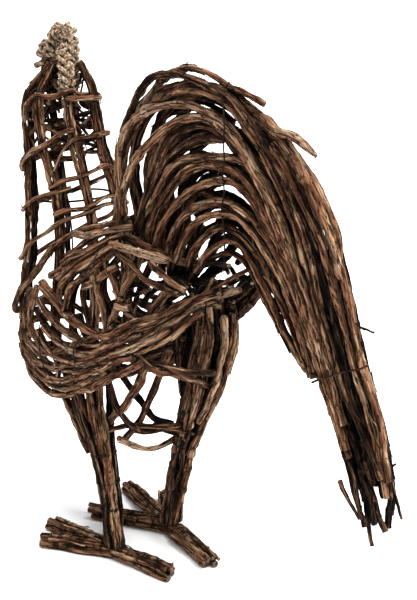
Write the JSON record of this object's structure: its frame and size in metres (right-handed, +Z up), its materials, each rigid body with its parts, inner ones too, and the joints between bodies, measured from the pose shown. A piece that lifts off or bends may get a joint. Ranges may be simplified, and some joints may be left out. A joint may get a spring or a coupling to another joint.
{
  "type": "wicker rooster figure",
  "caption": "Standing wicker rooster figure of bent vine rods: open cage neck, nested-ring body, arched hanging tail, bundled twig legs and rope comb.",
  "frame": {"origin": "middle of the figure's plan, on the ground that its feet stand on", "axes": "+Z up; the rooster faces -Y with its tail towards +Y, and its left side is +X"},
  "size_m": [0.2362, 0.6702, 0.6984],
  "materials": {
    "vine_bark": "raw stringy vine bark, matt",
    "jute_rope": "knotted jute rope, matt",
    "steel_wire": "black annealed tie wire"
  },
  "bodies": {
    "root": {"beak": "vine_bark", "belly_cross_rod": "vine_bark", "belly_loop_high": "vine_bark", "belly_loop_low": "vine_bark", "breast_rod_1": "vine_bark", "breast_rod_2": "vine_bark", "left_body_ring_1": "vine_bark", "left_body_ring_2": "vine_bark", "left_body_ring_3": "vine_bark", "left_body_ring_4": "vine_bark", "left_foot_keel": "vine_bark", "left_leg": "vine_bark", "left_toe_inner": "vine_bark", "left_toe_outer": "vine_bark", "neck_collar": "vine_bark", "neck_hoop_1": "vine_bark", "neck_hoop_2": "vine_bark", "neck_hoop_3": "vine_bark", "neck_hoop_4": "vine_bark", "neck_stave_1": "vine_bark", "neck_stave_2": "vine_bark", "neck_stave_3": "vine_bark", "neck_stave_4": "vine_bark", "neck_stave_5": "vine_bark", "neck_stave_6": "vine_bark", "neck_stave_7": "vine_bark", "neck_stave_8": "vine_bark", "right_body_ring_1": "vine_bark", "right_body_ring_2": "vine_bark", "right_body_ring_3": "vine_bark", "right_body_ring_4": "vine_bark", "right_foot_keel": "vine_bark", "right_leg": "vine_bark", "right_toe_inner": "vine_bark", "right_toe_outer": "vine_bark", "rope_comb": "jute_rope", "rope_wattle": "jute_rope", "tail_rod_1": "vine_bark", "tail_rod_10": "vine_bark", "tail_rod_11": "vine_bark", "tail_rod_12": "vine_bark", "tail_rod_13": "vine_bark", "tail_rod_14": "vine_bark", "tail_rod_15": "vine_bark", "tail_rod_16": "vine_bark", "tail_rod_17": "vine_bark", "tail_rod_18": "vine_bark", "tail_rod_19": "vine_bark", "tail_rod_2": "vine_bark", "tail_rod_20": "vine_bark", "tail_rod_3": "vine_bark", "tail_rod_4": "vine_bark", "tail_rod_5": "vine_bark", "tail_rod_6": "vine_bark", "tail_rod_7": "vine_bark", "tail_rod_8": "vine_bark", "tail_rod_9": "vine_bark", "tail_root_binder": "vine_bark", "tail_stub": "vine_bark", "tail_tie_wire": "steel_wire"}
  },
  "joints": []
}
